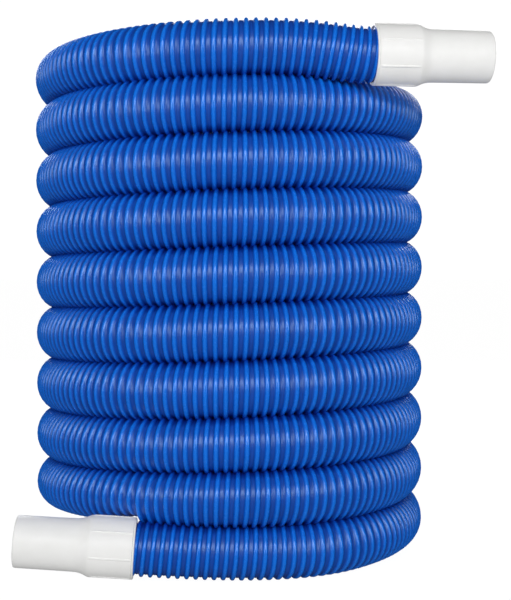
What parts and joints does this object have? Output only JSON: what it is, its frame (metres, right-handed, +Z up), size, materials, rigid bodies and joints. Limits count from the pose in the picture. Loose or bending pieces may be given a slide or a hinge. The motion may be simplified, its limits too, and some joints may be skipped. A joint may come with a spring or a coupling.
{
  "type": "pool vacuum hose",
  "caption": "Spiral-ribbed blue suction hose wound into an upright coil, with a white swivel cuff on each free end.",
  "frame": {"origin": "on the floor under the middle of the whole object's box, the coil standing upright", "axes": "+Z up along the coil's axis, -Y the side both free ends lie on, the top cuff pointing to +X and the low cuff to -X"},
  "size_m": [0.3922, 0.355, 0.4528],
  "materials": {
    "hose": "flexible blown plastic, satin blue with softer sheen on the ribs",
    "cuff": "moulded white plastic, satin",
    "ferrule": "moulded off-white plastic",
    "seal": "soft black rubber"
  },
  "bodies": {
    "hose": {"hose_coil": "hose", "hose_end_top": "hose", "hose_end_low": "hose", "threaded_ferrule_top": "ferrule", "seal_ring_top": "seal", "threaded_ferrule_low": "ferrule", "seal_ring_low": "seal"},
    "cuff_top": {"cuff_body_top": "cuff", "retaining_ring_top": "cuff"},
    "cuff_low": {"cuff_body_low": "cuff", "retaining_ring_low": "cuff"}
  },
  "joints": [
    {"name": "cuff_swivel_top", "type": "hinge", "parent": "hose", "child": "cuff_top", "pos_m": [0.11342, -0.14348, 0.42448], "axis": [0.9945, 0.1045, -0.0052], "continuous": true},
    {"name": "cuff_swivel_low", "type": "hinge", "parent": "hose", "child": "cuff_low", "pos_m": [-0.10784, -0.15183, 0.02776], "axis": [-0.9959, -0.0522, 0.0732], "continuous": true}
  ]
}
